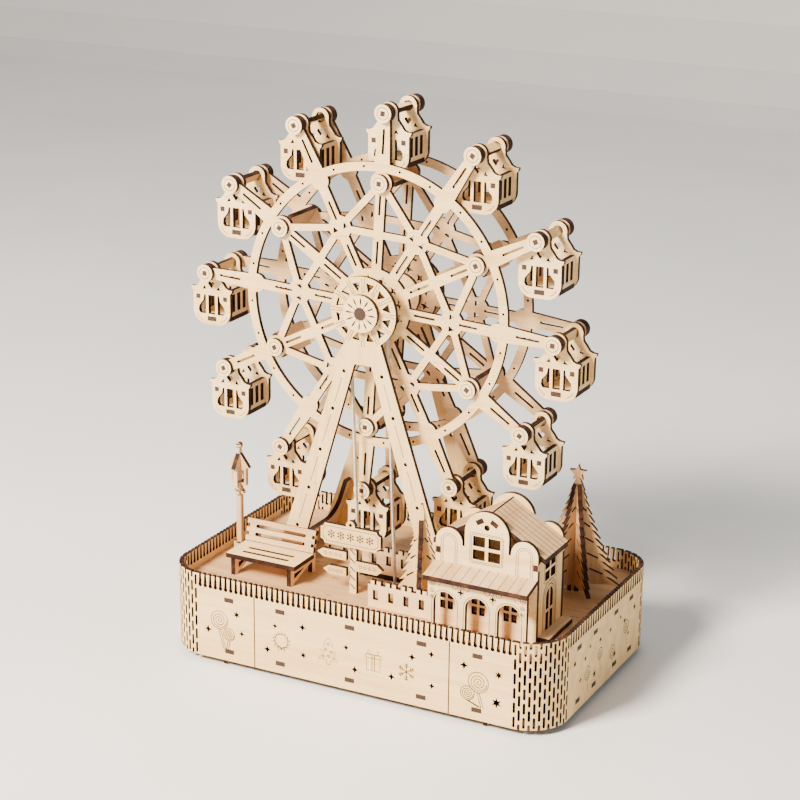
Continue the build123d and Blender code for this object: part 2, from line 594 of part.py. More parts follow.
def make_trees():
    """Small crossed fir beside the tower and the large six-bladed fir in the corner."""
    small = fir(64, 16.5, 10)
    keep("small_fir", *crossed(small, small, 20, 22.0, -31.0, PLY / 2))
    topper = Pos(0, 76) * star(5, 5.5, 2.4)
    large = fir(74, 29, 13)
    start = PLY / 2 / tan(radians(30))
    keep("large_fir", *crossed(large + topper, large, 10, 95.0, 34.0, start, (60, 120, -60, -120)))


def make_lamp():
    """Lamp post with a house-shaped lantern, built of crossed boards."""
    roof_z, eaves_z, body_z, top_z = 63.0, 57.0, 45.0, 73.0
    post = area(-1.8, 1.8, 0, body_z) + Pos(0, 3) * Rectangle(8, 6) + Pos(0, body_z - 5) * Rectangle(7, 2)
    lantern = area(-5.5, 5.5, body_z, eaves_z)
    lantern += outline((-8, eaves_z), (8, eaves_z), (1.4, roof_z + 3), (-1.4, roof_z + 3))
    lantern += area(-1.0, 1.0, roof_z, top_z - 2) + Pos(0, top_z - 2) * Circle(2)
    glass = [Pos(s * 2.6, (body_z + eaves_z) / 2) * Rectangle(3.4, 8) for s in (-1, 1)]
    board = post + lantern - glass
    keep("lamp_post", *crossed(board, board, 0, -118.0, -10.0, PLY / 2))


def make_signs():
    """Signpost with a plaque and three arrow boards."""
    x, y, top = -21.0, -38.0, 82.0
    keep("sign_post", facing_front(area(x - 2.4, x + 2.4, DECK, top), y))
    corners = [Pos(x + i * 20.5, 83.5 + j * 6.5) * Circle(2.6) for i in (-1, 1) for j in (-1, 1)]
    plaque = Pos(x, 83.5) * Rectangle(41, 13) - corners + Pos(x, 91) * Circle(3) - Pos(x, 91.4) * Circle(1.1)

    def arrow(tip, tail, z, height):
        head = tip + (4 if tail > tip else -4)
        return outline((tip, z), (head, z + height / 2), (tail, z + height / 2), (tail, z - height / 2),
                       (head, z - height / 2))

    boards = [plaque, arrow(-44, -24, 70.5, 5.5), arrow(-40, -24, 60.0, 5.5), arrow(1, -18, 65.5, 6.5)]
    keep("sign_boards", *[facing_front(board, y - PLY) for board in boards])


def make_fences():
    """Two low crenellated fences on the deck."""
    def fence(x0, x1, height):
        board = area(x0, x1, DECK, DECK + height)
        count = round((x1 - x0) / 10)
        pitch = (x1 - x0) / count
        for i in range(count):
            middle = x0 + (i + 0.5) * pitch
            board += area(middle - 3.4, middle - 0.8, DECK + height, DECK + height + 2.6)
            board += area(middle + 0.8, middle + 3.4, DECK + height, DECK + height + 2.6)
            board -= Pos(middle, DECK + height * 0.55) * Rectangle(3.6, 6.4)
        return board

    keep("front_fence", facing_front(fence(-4.0, 37.0, 14.5), -50.0))
    keep("rear_fence", facing_front(fence(-64.0, 8.0, 12.5), 3.0))


# ----------------------------------------------------------------------- house
def roof_tenons():
    """Sections of the two roof tenons beside the ridge, round the house's middle."""
    mid_z = RIDGE_Z - 4.6 * tan(radians(ROOF_SLOPE)) - PLY / 2 / cos(radians(ROOF_SLOPE))
    return [Pos(s * 4.6, mid_z) * Rot(0, 0, -s * ROOF_SLOPE) * Rectangle(5, PLY) for s in (-1, 1)]


def facade(with_door_windows):
    """Front or rear board of the house: tall middle gable between two low round ones."""
    half = HOUSE_W / 2
    board = area(-half, half, DECK, 97.5)
    board += [Pos(s * (half - 8.5), 0) * arch(17, DECK, 107.3) for s in (-1, 1)]
    board += arch(28, DECK, 121)
    board -= [Pos(0, 98) * pane for pane in panes(17.5, 14.5, 2)]
    board -= Pos(0, 111.5) * Circle(1.8)
    board -= roof_tenons()
    board -= [Pos(s * (half - PLY / 2), 92.5) * Rectangle(PLY, 4) for s in (-1, 1)]
    if with_door_windows:
        for place in (-20.5, 0, 20.5):
            board -= [Pos(place - 4.5, 61.9) * pane for pane in panes(8.6, 11.8, 1.5)]
    return board


def make_house():
    """Shop: arcade, porch roof, front and rear boards, side walls, roof and step."""
    half = HOUSE_W / 2
    shift = Pos(HOUSE_X, 0)
    arcade = area(-half + 0.5, half - 1.5, DECK, 78.5)
    arcade -= [Pos(place - 0.5, 0) * arch(14.6, DECK - 1, 71.5) for place in (-20.5, 0, 20.5)]
    arcade -= [Pos(place - 0.5, 73) * star(4, 2.6, 0.9) for place in (-10.2, 10.2)]
    keep("house_arcade", facing_front(shift * arcade, ARCADE_Y))
    keep("house_front", facing_front(shift * facade(True), HOUSE_FRONT_Y))
    keep("house_rear", facing_front(shift * facade(False), HOUSE_REAR_Y))

    wall_y0, wall_y1 = HOUSE_FRONT_Y + PLY, HOUSE_REAR_Y
    middle = (wall_y0 + wall_y1) / 2
    wall = area(wall_y0, wall_y1, DECK, WALL_EAVES_Z - 2)
    wall -= Pos(middle - 1, 0) * arch(14, DECK - 1, 77)
    wall -= [Pos(middle - 1, 87) * pane for pane in panes(15, 13, 1.6)]
    wall += [area(y, y + PLY, 90.5, 94.5) for y in (HOUSE_FRONT_Y, HOUSE_REAR_Y)]
    keep("house_side_walls", facing_side(wall, HOUSE_X - half), facing_side(wall, HOUSE_X + half - PLY))

    opening = arch(10, DECK + 3, 74.6) - area(-1, 1, DECK, 78) - area(-5, 5, 60, 61.8)
    door = Pos(middle - 1, 0) * (arch(13.2, DECK, 76.4) - opening)
    keep("house_doors", facing_side(door, HOUSE_X - half), facing_side(door, HOUSE_X + half - PLY))

    rise = tan(radians(ROOF_SLOPE))
    over = 3.2
    drop = PLY / cos(radians(ROOF_SLOPE))
    reach = half + over
    boards = []
    for side, tenon in zip((-1, 1), roof_tenons()):
        section = outline((0, RIDGE_Z), (side * reach, RIDGE_Z - reach * rise),
                          (side * reach, RIDGE_Z - reach * rise - drop), (0, RIDGE_Z - drop))
        board = extrude(Plane.XZ * section, HOUSE_REAR_Y - wall_y0, dir=(0, -1, 0))
        board += Pos(0, PLY, 0) * extrude(Plane.XZ * tenon, HOUSE_REAR_Y - HOUSE_FRONT_Y + PLY, dir=(0, -1, 0))
        boards.append(Pos(HOUSE_X, HOUSE_REAR_Y, 0) * board)
    keep("house_roof", *boards)

    porch = outline((HOUSE_FRONT_Y, 85.5), (ARCADE_Y - 4, 81.5), (ARCADE_Y - 4, 78.5), (HOUSE_FRONT_Y, 82.5))
    keep("porch_roof", Pos(HOUSE_X - half - 1, 0, 0) * extrude(Plane.YZ * porch, HOUSE_W + 1))
    step = area(HOUSE_X + half, HOUSE_X + half + 7, wall_y0, wall_y1 + 2)
    keep("door_step", lying(step, DECK))


def main():
    """Build every piece and write one STEP file for each."""
    make_base()
    make_tower()
    make_wheel()
    make_cabins()
    make_drive()
    make_bench()
    make_trees()
    make_lamp()
    make_signs()
    make_fences()
    make_house()
    os.makedirs("parts", exist_ok=True)
    for name, shape in PARTS.items():
        export_step(shape, os.path.join("parts", f"{name}.step"))
    print(len(PARTS), "pieces")


main()
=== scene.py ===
import math

import bpy
import numpy as np
from mathutils import Matrix, Vector


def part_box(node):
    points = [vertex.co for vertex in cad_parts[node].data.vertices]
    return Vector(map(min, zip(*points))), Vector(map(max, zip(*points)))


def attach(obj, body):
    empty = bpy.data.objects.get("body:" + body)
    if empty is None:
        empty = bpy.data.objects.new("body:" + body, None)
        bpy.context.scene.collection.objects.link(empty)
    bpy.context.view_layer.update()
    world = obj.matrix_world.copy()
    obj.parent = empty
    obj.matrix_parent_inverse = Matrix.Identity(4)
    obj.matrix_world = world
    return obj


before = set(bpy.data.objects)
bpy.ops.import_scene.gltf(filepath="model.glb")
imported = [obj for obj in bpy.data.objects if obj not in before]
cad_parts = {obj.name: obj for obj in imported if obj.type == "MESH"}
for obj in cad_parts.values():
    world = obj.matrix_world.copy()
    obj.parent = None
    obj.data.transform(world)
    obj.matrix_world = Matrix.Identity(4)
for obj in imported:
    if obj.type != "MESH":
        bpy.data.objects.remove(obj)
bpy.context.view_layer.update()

# A Ferris wheel cut from thin plywood, standing on a fenced base.
# Sizes below are in millimetres and turned to metres where a piece is made.

MM = 0.001
PLY = 3.0
LENGTH, DEPTH, CORNER_R = 260.0, 161.0, 24.5  # outline of the base
DECK = 45.8  # height of the deck's upper side
CABINS = 12
STEP = 360 // CABINS  # degrees from one cabin to the next
WHEEL_TURN = -3.2  # degrees that the wheel is turned at rest


def middle_of(node):
    """Centre of a CAD node's box, in millimetres."""
    low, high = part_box(node)
    return (low + high) / 2 / MM


AXLE_X, _, AXLE_Z = middle_of("wheel_axle")
CABIN_FRONT_Y, CABIN_REAR_Y = 5.6, 30.5  # fronts of a cabin's two face boards
CABIN_CIRCLE_R = 118.5  # circle of the cabin rods
TIE_CIRCLE_R = 76.5  # circle of the tie boards
SPOKES = [90 - STEP * index + WHEEL_TURN for index in range(CABINS)]

# Tenons in a cabin's face boards, measured from its rod: distance to the side and down.
SIDE_TENON = (9.9, 17.6)
FLOOR_TENON_DROP, FLOOR_TENON_HALF_W = 31.4, 3.27
TENON_HALF = 1.52  # half a board's thickness, with a little to spare
FLOOR_TOP_DROP = 29.85
NEAR = 0.05  # how far a polygon's centre may lie from its board, in mm

# Middle line of a leg of the A frames, from the axle's X: place at the top and at the deck.
LEG_TOP, LEG_FOOT = (8.25, 193.0), (54.5, DECK)

HOUSE_MIDDLE_X = 74.5
ROOF_FRONT_Y, ROOF_REAR_Y = -49.0, -16.0
ROOF_SLOPE = 30.5


def polar(radius, degrees):
    """Point on a circle round the origin of a drawing."""
    return radius * math.cos(math.radians(degrees)), radius * math.sin(math.radians(degrees))


# ------------------------------------------------------------------- materials
def linear(colour):
    """Linear RGBA of an sRGB hex colour."""
    channels = [int(colour[at:at + 2], 16) / 255 for at in (1, 3, 5)]
    return [c / 12.92 if c <= 0.04045 else ((c + 0.055) / 1.055) ** 2.4 for c in channels] + [1.0]


def add(tree, kind, settings=(), links=()):
    """Add a node, give it its settings and feed its inputs."""
    node = tree.nodes.new(kind)
    for name, value in dict(settings).items():
        if hasattr(node, str(name)):
            setattr(node, name, value)
        else:
            node.inputs[name].default_value = value
    for name, source in dict(links).items():
        tree.links.new(source, node.inputs[name])
    return node


def new_material(name):
    """Empty material with its shader; returns the material, its tree and the shader."""
    material = bpy.data.materials.new(name)
    material.use_nodes = True
    tree = material.node_tree
    return material, tree, tree.nodes["Principled BSDF"]


def set_ramp(node, stops):
    """Colours of a ramp, given as places and hex colours."""
    ramp = node.color_ramp
    while len(ramp.elements) < len(stops):
        ramp.elements.new(0.5)
    for element, (place, colour) in zip(ramp.elements, stops):
        element.position = place
        element.color = linear(colour)


def speckled(name, size, stops, roughness, detail=2.0):
    """Material whose colour drifts through a ramp in patches of one size in mm."""
    material, tree, shader = new_material(name)
    places = add(tree, "ShaderNodeTexCoord").outputs["Object"]
    pattern = add(tree, "ShaderNodeTexNoise", {"Scale": 1 / (size * MM), "Detail": detail}, {"Vector": places})
    colour = add(tree, "ShaderNodeValToRGB", {}, {"Fac": pattern.outputs["Fac"]})
    set_ramp(colour, stops)
    tree.links.new(colour.outputs["Color"], shader.inputs["Base Color"])
    shader.inputs["Roughness"].default_value = roughness
    return material, tree, shader, pattern


GRAIN_ACROSS = 0.7  # mm between growth lines
GRAIN_ALONG = 40.0  # mm that one line runs
FIGURE_ACROSS = 9.0  # mm between the broad darker bands
PORE_ACROSS, PORE_ALONG = 0.25, 2.2  # mm, width and length of a pore


def along_grain(axis, across, along):
    """Texture scale, per metre, for a pattern stretched along one axis."""
    scale = [1 / (across * MM)] * 3
    scale["XYZ".index(axis)] = 1 / (along * MM)
    return scale


def sanded_basswood(tone, axis):
    """Sanded basswood ply: pale, nearly matt, with fine straight grain and a few broad bands."""
    dark, middle, pale = TONES[tone]
    material, tree, shader = new_material(f"basswood_ply_sanded_{tone}_{axis}")
    places = add(tree, "ShaderNodeTexCoord").outputs["Object"]

    def grain(across, along, detail):
        stretched = add(tree, "ShaderNodeMapping", {"Scale": along_grain(axis, across, along)}, {"Vector": places})
        return add(tree, "ShaderNodeTexNoise", {"Scale": 1.0, "Detail": detail, "Roughness": 0.6},
                   {"Vector": stretched.outputs["Vector"]}).outputs["Fac"]

    lines = grain(GRAIN_ACROSS, GRAIN_ALONG, 3.0)
    figure = grain(FIGURE_ACROSS, 4 * GRAIN_ALONG, 2.0)
    pores = grain(PORE_ACROSS, PORE_ALONG, 1.0)
    mixed = add(tree, "ShaderNodeMix", {"data_type": "FLOAT", "Factor": 0.55}, {"A": lines, "B": figure})
    colour = add(tree, "ShaderNodeValToRGB", {}, {"Fac": mixed.outputs["Result"]})
    set_ramp(colour, ((0.3, dark), (0.5, middle), (0.68, pale)))
    fleck = add(tree, "ShaderNodeValToRGB", {}, {"Fac": pores})
    set_ramp(fleck, ((0.3, "#C9BDAE"), (0.42, "#FFFFFF")))
    final = add(tree, "ShaderNodeMix", {"data_type": "RGBA", "blend_type": "MULTIPLY", "Factor": 0.5})
    tree.links.new(colour.outputs["Color"], final.inputs["A"])
    tree.links.new(fleck.outputs["Color"], final.inputs["B"])
    tree.links.new(final.outputs["Result"], shader.inputs["Base Color"])
    bump = add(tree, "ShaderNodeBump", {"Strength": 0.25, "Distance": 0.00008}, {"Height": lines})
    tree.links.new(bump.outputs["Normal"], shader.inputs["Normal"])
    shader.inputs["Roughness"].default_value = 0.62
    shader.inputs["IOR"].default_value = 1.45
    shader.inputs["Specular IOR Level"].default_value = 0.35
    return material


# Dark growth lines, body colour and the palest wood of each tone. Cream, pale and warm are tones of the sheets
# that the boards came from, and warm is also used as painted shade on rear copies of front boards; the darkest
# tone is painted shade, for the deck and the large fir.
TONES = {
    "cream": ("#DBB074", "#EFC98A", "#F8DAA4"),
    "pale": ("#E2BD84", "#F5D49C", "#FCE3B6"),
    # Painted shade: a darker tone that stands in for the shade on the deck and the large fir.
    "honey_painted_shade": ("#A87C50", "#C59B6C", "#D6B084"),
    "warm": ("#BA8E5E", "#D6AF80", "#E4C498"),
}


def laser_burnt_edge():
    """Edge of laser-cut ply: scorched brown and matt, finely mottled, so that it outlines each pale board."""
    material, tree, shader = new_material("basswood_ply_laser_burnt_edge")
    places = add(tree, "ShaderNodeTexCoord").outputs["Object"]
    mark_pitch, patch_size = 0.35, 6.0
    marks = add(tree, "ShaderNodeTexNoise", {"Scale": 1 / (mark_pitch * MM), "Detail": 2.0}, {"Vector": places})
    patches = add(tree, "ShaderNodeTexNoise", {"Scale": 1 / (patch_size * MM), "Detail": 2.0}, {"Vector": places})
    mixed = add(tree, "ShaderNodeMix", {"data_type": "FLOAT", "Factor": 0.5},
                {"A": marks.outputs["Fac"], "B": patches.outputs["Fac"]})
    colour = add(tree, "ShaderNodeValToRGB", {}, {"Fac": mixed.outputs["Result"]})
    set_ramp(colour, ((0.36, "#140B07"), (0.54, "#32190E"), (0.72, "#6E4226")))
    tree.links.new(colour.outputs["Color"], shader.inputs["Base Color"])
    bump = add(tree, "ShaderNodeBump", {"Strength": 0.4, "Distance": 0.0001}, {"Height": marks.outputs["Fac"]})
    tree.links.new(bump.outputs["Normal"], shader.inputs["Normal"])
    shader.inputs["Roughness"].default_value = 0.8
    shader.inputs["Specular IOR Level"].default_value = 0.25
    return material


def cut_tenon_end():
    """End of a tenon: small and browned by the laser, so that each joint reads as a dark rectangle."""
    stops = ((0.38, "#170C06"), (0.54, "#38200F"), (0.72, "#764524"))
    return speckled("basswood_ply_browned_tenon_end", 0.5, stops, 0.75, 3.0)[0]


def laser_score():
    """Line engraved by a weak laser pass: thin, brown and matt, so that it draws without shining."""
    return speckled("basswood_ply_laser_scored_line", 3.0, ((0.35, "#26150B"), (0.6, "#4C2D18")), 0.85)[0]


def clear_polyurethane_belt():
    """Extruded clear polyurethane belt: milky, smooth and slightly glossy beside the matt wood."""
    stops = ((0.3, "#D8CDB6"), (0.7, "#EFE8D8"))
    material, _, shader, _ = speckled("polyurethane_belt_extruded_clear", 4.0, stops, 0.28)
    shader.inputs["IOR"].default_value = 1.5
    shader.inputs["Transmission Weight"].default_value = 0.35
    return material


def moulded_casing():
    """Moulded ABS casing of the spring movement: dark grey with a fine spark-eroded grain."""
    stops = ((0.3, "#2A2A2C"), (0.7, "#3A3A3D"))
    material, tree, shader, grit = speckled("abs_casing_moulded_grey", 0.4, stops, 0.5)
    bump = add(tree, "ShaderNodeBump", {"Strength": 0.3, "Distance": 0.0001}, {"Height": grit.outputs["Fac"]})
    tree.links.new(bump.outputs["Normal"], shader.inputs["Normal"])
    return material


def ground_steel():
    """Ground steel rod: bright, with a fine uneven polish."""
    material, _, shader, _ = speckled("steel_rod_ground", 0.3, ((0.3, "#9A9A9A"), (0.7, "#B8B8B6")), 0.3)
    shader.inputs["Metallic"].default_value = 1.0
    return material


FACES = {}
EDGE = laser_burnt_edge()
TENON = cut_tenon_end()
SCORE = laser_score()


def face_wood(tone, axis):
    """Sanded face material of one sheet tone and grain direction, made once."""
    if (tone, axis) not in FACES:
        FACES[tone, axis] = sanded_basswood(tone, axis)
    return FACES[tone, axis]


# ----------------------------------------------- faces and edges of the boards
def leaning(degrees, plane="XZ"):
    """Normal tilted from upright in the XZ or the YZ plane."""
    sine, cosine = math.sin(math.radians(degrees)), math.cos(math.radians(degrees))
    return (sine, 0, cosine) if plane == "XZ" else (0, sine, cosine)


def level(degrees):
    """Horizontal normal at an angle from X."""
    return (math.cos(math.radians(degrees)), math.sin(math.radians(degrees)), 0)


AXES = {"X": (1, 0, 0), "Y": (0, 1, 0), "Z": (0, 0, 1)}
LEG_LEAN = math.degrees(math.atan((LEG_FOOT[0] - LEG_TOP[0]) / (LEG_TOP[1] - LEG_FOOT[1])))
BENCH_BACK_LEAN, PORCH_SLOPE = 73, 15  # degrees that the boards' normals lean from upright

# Node: directions that its board faces look in, tone of its wood and grain direction. Darker tones on some boards
# are painted shade, noted where they stand.
BOARDS = {
    "front_wall": ("Y", "cream", "X"), "back_wall": ("Y", "cream", "X"),
    # Painted shade: the deck has the darker tone for the shade it lies in.
    "bottom_plate": ("Z", "warm", "X"), "deck": ("Z", "honey_painted_shade", "X"),
    "left_rib": ("X", "warm", "Y"), "right_rib": ("X", "warm", "Y"), "cross_rib": ("Y", "warm", "X"),
    "front_a_frame": ("Y", "cream", "Z"), "rear_a_frame": ("Y", "cream", "Z"),
    "left_brace": ((leaning(90 + LEG_LEAN),), "warm", "Y"),
    "right_brace": ((leaning(90 - LEG_LEAN),), "warm", "Y"),
    # Painted shade: the rear wheel face and the rear arms are darker warm copies of the cream front boards, for
    # the shade behind the front.
    "front_wheel_face": ("Y", "cream", "X"), "rear_wheel_face": ("Y", "warm", "X"),
    "front_arms": ("Y", "cream", "X"), "rear_arms": ("Y", "warm", "X"),
    "peg_caps": ("Y", "pale", "X"), "hub_discs": ("Y", "pale", "X"),
    "wheel_pulley": ("Y", "cream", "X"), "drive_pulley": ("Y", "cream", "X"),
    "winding_key": ("Y", "cream", "X"),
    "bench_frames": ("X", "cream", "Z"), "bench_seat": ("Z", "cream", "X"),
    "bench_back": ((leaning(-BENCH_BACK_LEAN, "YZ"),), "warm", "X"),
    "small_fir": ([level(110), level(20)], "cream", "Z"),
    # Painted shade: the large fir has the darker tone for the shade it stands in.
    "large_fir": ([level(100), level(160), level(220)], "honey_painted_shade", "Z"),
    "lamp_post": ([level(0), level(90)], "warm", "Z"),
    "sign_post": ("Y", "pale", "Z"), "sign_boards": ("Y", "cream", "X"),
    # Painted shade: the rear fence is a darker warm copy of the pale front fence.
    "front_fence": ("Y", "pale", "X"), "rear_fence": ("Y", "warm", "X"),
    "house_arcade": ("Y", "pale", "X"), "house_front": ("Y", "pale", "X"), "house_rear": ("Y", "cream", "X"),
    "house_side_walls": ("X", "cream", "Z"), "house_doors": ("X", "warm", "Z"),
    "house_roof": ((leaning(ROOF_SLOPE), leaning(-ROOF_SLOPE)), "warm", "Y"),
    "porch_roof": ((leaning(-PORCH_SLOPE, "YZ"),), "warm", "Y"), "door_step": ("Z", "warm", "Y"),
}


def polygon_data(mesh):
    """Centres in millimetres and unit normals of a mesh's polygons."""
    count = len(mesh.polygons)
    centres, normals = np.empty(count * 3), np.empty(count * 3)
    mesh.polygons.foreach_get("center", centres)
    mesh.polygons.foreach_get("normal", normals)
    return centres.reshape(-1, 3) / MM, normals.reshape(-1, 3)


def looks_along(normals, directions, cosine=0.96):
    """True where a polygon looks along one of the directions, either way."""
    vectors = [AXES[d] if isinstance(d, str) else d for d in directions]
    aligned = np.abs(normals @ np.array(vectors, float).T)
    return aligned.max(axis=1) > cosine


def give_materials(node, materials, index):
    """Set a node's material slots and which slot each polygon uses."""
    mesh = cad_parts[node].data
    mesh.materials.clear()
    for material in materials:
        mesh.materials.append(material)
    mesh.polygons.foreach_set("material_index", np.asarray(index, np.int32))
    mesh.update()


def dress_boards():
    """Pale faces and burnt edges on every flat board."""
    for node, (directions, tone, axis) in BOARDS.items():
        normals = polygon_data(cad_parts[node].data)[1]
        is_face = looks_along(normals, directions)
        give_materials(node, (face_wood(tone, axis), EDGE), np.where(is_face, 0, 1))


def dress_corner_walls():
    """Bent corner walls: the face direction follows the rounded outline of the base."""
    flat_x, flat_y = LENGTH / 2 - CORNER_R, DEPTH / 2 - CORNER_R
    for node in ("corner_front_left", "corner_front_right", "corner_back_left", "corner_back_right"):
        centres, normals = polygon_data(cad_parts[node].data)
        outward = np.zeros_like(centres)
        outward[:, 0] = np.sign(centres[:, 0]) * np.maximum(np.abs(centres[:, 0]) - flat_x, 0)
        outward[:, 1] = np.sign(centres[:, 1]) * np.maximum(np.abs(centres[:, 1]) - flat_y, 0)
        length = np.maximum(np.linalg.norm(outward, axis=1), 1e-6)
        is_face = np.abs((outward * normals).sum(axis=1) / length) > 0.93
        give_materials(node, (face_wood("cream", "X"), EDGE), np.where(is_face, 0, 1))


def dress_cabins():
    """Cabins: face boards, side boards and the floor each have their own direction."""
    tones = ("pale", "cream", "pale", "cream")
    for number, angle in enumerate(SPOKES):
        node = f"cabin_{number + 1:02d}"
        centres, normals = polygon_data(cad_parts[node].data)
        across, up = polar(CABIN_CIRCLE_R, angle)
        local_x = np.abs(centres[:, 0] - AXLE_X - across)
        local_z = centres[:, 2] - AXLE_Z - up
        front_board = centres[:, 1] < CABIN_FRONT_Y + PLY + NEAR
        rear_board = centres[:, 1] > CABIN_REAR_Y - NEAR
        in_face_board = front_board | rear_board
        in_floor = ~in_face_board & (local_z < -FLOOR_TOP_DROP)
        is_face = in_face_board & looks_along(normals, "Y")
        is_face |= ~in_face_board & ~in_floor & looks_along(normals, "X")
        is_face |= in_floor & looks_along(normals, "Z")
        side_tenon = np.abs(local_x - SIDE_TENON[0]) < TENON_HALF
        side_tenon &= np.abs(local_z + SIDE_TENON[1]) < TENON_HALF
        floor_tenon = (local_x < FLOOR_TENON_HALF_W) & (np.abs(local_z + FLOOR_TENON_DROP) < TENON_HALF)
        is_tenon = in_face_board & looks_along(normals, "Y") & (side_tenon | floor_tenon)
        index = np.where(is_tenon, 2, np.where(is_face, 0, 1))
        wood = face_wood(tones[number % len(tones)], "X")
        give_materials(node, (wood, EDGE, TENON), index)


def dress_rods():
    """Axle, flat rods and tie boards: wood faces, burnt edges and browned peg ends."""
    normals = polygon_data(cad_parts["wheel_axle"].data)[1]
    give_materials("wheel_axle", (face_wood("warm", "Y"), TENON), np.where(looks_along(normals, "Y"), 1, 0))
    for node, wood in (("tie_boards", face_wood("warm", "Y")), ("cabin_rods", face_wood("cream", "Y"))):
        centres, normals = polygon_data(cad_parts[node].data)
        outward = np.stack([centres[:, 0] - AXLE_X, centres[:, 2] - AXLE_Z], axis=1)
        outward /= np.linalg.norm(outward, axis=1)[:, None]
        is_face = np.abs((outward * normals[:, [0, 2]]).sum(axis=1)) > 0.9
        index = np.where(looks_along(normals, "Y"), 2, np.where(is_face, 0, 1))
        give_materials(node, (wood, EDGE, TENON), index)


def dress_tenon_ends():
    """Tenons of the deck and the bottom plate, flush with the outside of the walls."""
    for node in ("deck", "bottom_plate"):
        centres, normals = polygon_data(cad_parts[node].data)
        outside = np.abs(centres[:, 0]) > LENGTH / 2 - 2 * NEAR
        outside |= np.abs(centres[:, 1]) > DEPTH / 2 - 2 * NEAR
        index = np.where(outside, 2, np.where(looks_along(normals, "Z"), 0, 1))
        give_materials(node, (face_wood(BOARDS[node][1], "X"), EDGE, TENON), index)


def dress_drive():
    """Belt, spring movement and drive shaft."""
    for node, material in (("belt", clear_polyurethane_belt()), ("spring_movement", moulded_casing()),
                           ("drive_shaft", ground_steel())):
        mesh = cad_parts[node].data
        give_materials(node, (material,), np.zeros(len(mesh.polygons)))


# --------------------------------------------------------------- scored lines
def circle(x, z, radius, count=28):
    """Closed ring of points in a drawing."""
    return [(x + polar(radius, 360 * i / count)[0], z + polar(radius, 360 * i / count)[1]) for i in range(count)]


def arc(x, z, radius, start, end, count=14):
    """Points along part of a circle."""
    angles = [start + (end - start) * i / count for i in range(count + 1)]
    return [(x + polar(radius, a)[0], z + polar(radius, a)[1]) for a in angles]


def spiral(x, z, radius, turns, count=64):
    """Points winding out from a centre."""
    steps = [i / count for i in range(count + 1)]
    return [(x + polar(radius * s, 360 * turns * s)[0], z + polar(radius * s, 360 * turns * s)[1]) for s in steps]


class Scores:
    """Engraved lines of one body, all in one curve."""

    def __init__(self, name, body, width=0.34, material=None, rounding=0):
        self.curve = bpy.data.curves.new(name, "CURVE")
        self.curve.dimensions = "3D"
        self.curve.bevel_depth = width / 2 * MM
        self.curve.bevel_resolution = rounding
        self.curve.use_fill_caps = True
        self.piece = bpy.data.objects.new(name, self.curve)
        self.curve.materials.append(material or SCORE)
        bpy.context.scene.collection.objects.link(self.piece)
        self.body = body

    def line(self, points, closed=False):
        """Add one line through points in millimetres."""
        spline = self.curve.splines.new("POLY")
        spline.points.add(len(points) - 1)
        spline.use_cyclic_u = closed
        for point, place in zip(spline.points, points):
            point.co = (*[value * MM for value in place], 1)

    def front(self, y, points, closed=False):
        """Add a line drawn in X and Z on a surface that faces the front."""
        self.line([(x, y, z) for x, z in points], closed)

    def side(self, x, points, closed=False):
        """Add a line drawn in Y and Z on a surface that faces the side."""
        self.line([(x, y, z) for y, z in points], closed)

    def done(self):
        """Let the lines move with their body."""
        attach(self.piece, self.body)


def lollipop(scores, y, x, z, radius, foot):
    """Swirled sweet on a stick."""
    scores.front(y, circle(x, z, radius), True)
    scores.front(y, spiral(x, z, radius * 0.86, 3))
    for shift in (-0.7, 0.7):
        scores.front(y, [(x + shift, z - radius), (foot[0] + shift, foot[1])])


def snowflake(scores, y, x, z, radius):
    """Six-armed snowflake with small branches."""
    for arm in range(6):
        angle = 30 + 60 * arm
        tip = polar(radius, angle)
        scores.front(y, [(x, z), (x + tip[0], z + tip[1])])
        for part in (0.5, 0.75):
            root = polar(radius * part, angle)
            for turn in (-50, 50):
                end = polar(radius * 0.28, angle + turn)
                scores.front(y, [(x + root[0], z + root[1]), (x + root[0] + end[0], z + root[1] + end[1])])


def wreath(scores, y, x, z, radius):
    """Leafy ring with a bow below."""
    scores.front(y, circle(x, z, radius * 0.72), True)
    leaves, leaf_turn = 14, 16
    for leaf in range(leaves):
        angle = 360 * leaf / leaves
        root, tip = polar(radius * 0.72, angle), polar(radius, angle + leaf_turn)
        scores.front(y, [(x + root[0], z + root[1]), (x + tip[0], z + tip[1])])
    for side in (-1, 1):
        loop_x = x + side * 2.2
        scores.front(y, [(x, z - radius * 0.8), (loop_x, z - radius * 0.5), (loop_x, z - radius * 1.1)], True)


def fir_motif(scores, y, x, z):
    """Fir of three tiers with baubles."""
    right_half = ((3.4, 4.4), (1.8, 4.4), (5.2, -0.6), (2.8, -0.6), (6.8, -6), (1.2, -6), (1.2, -8.6))
    outline = [(0, 9), *right_half, *[(-across, up) for across, up in reversed(right_half)]]
    scores.front(y, [(x + across, z + up) for across, up in outline], True)
    baubles, bauble_r = ((0.0, 4.6), (-1.9, 0.8), (1.7, -0.2), (-3.4, -4.0), (0.2, -3.2), (3.6, -4.2)), 0.7
    for shift, height in baubles:
        scores.front(y, circle(x + shift, z + height, bauble_r, 10), True)


def gift(scores, y, x, z):
    """Wrapped box with a bow."""
    foot, lid, top = z - 6, z + 2, z + 4.2
    scores.front(y, [(x - 4.5, foot), (x + 4.5, foot), (x + 4.5, lid), (x - 4.5, lid)], True)
    scores.front(y, [(x - 5.2, lid), (x + 5.2, lid), (x + 5.2, top), (x - 5.2, top)], True)
    for shift in (-0.8, 0.8):
        scores.front(y, [(x + shift, foot), (x + shift, top)])
    for side in (-1, 1):
        scores.front(y, [(x, top), (x + side * 3.4, z + 7.4), (x + side * 3.8, z + 4.8)], True)


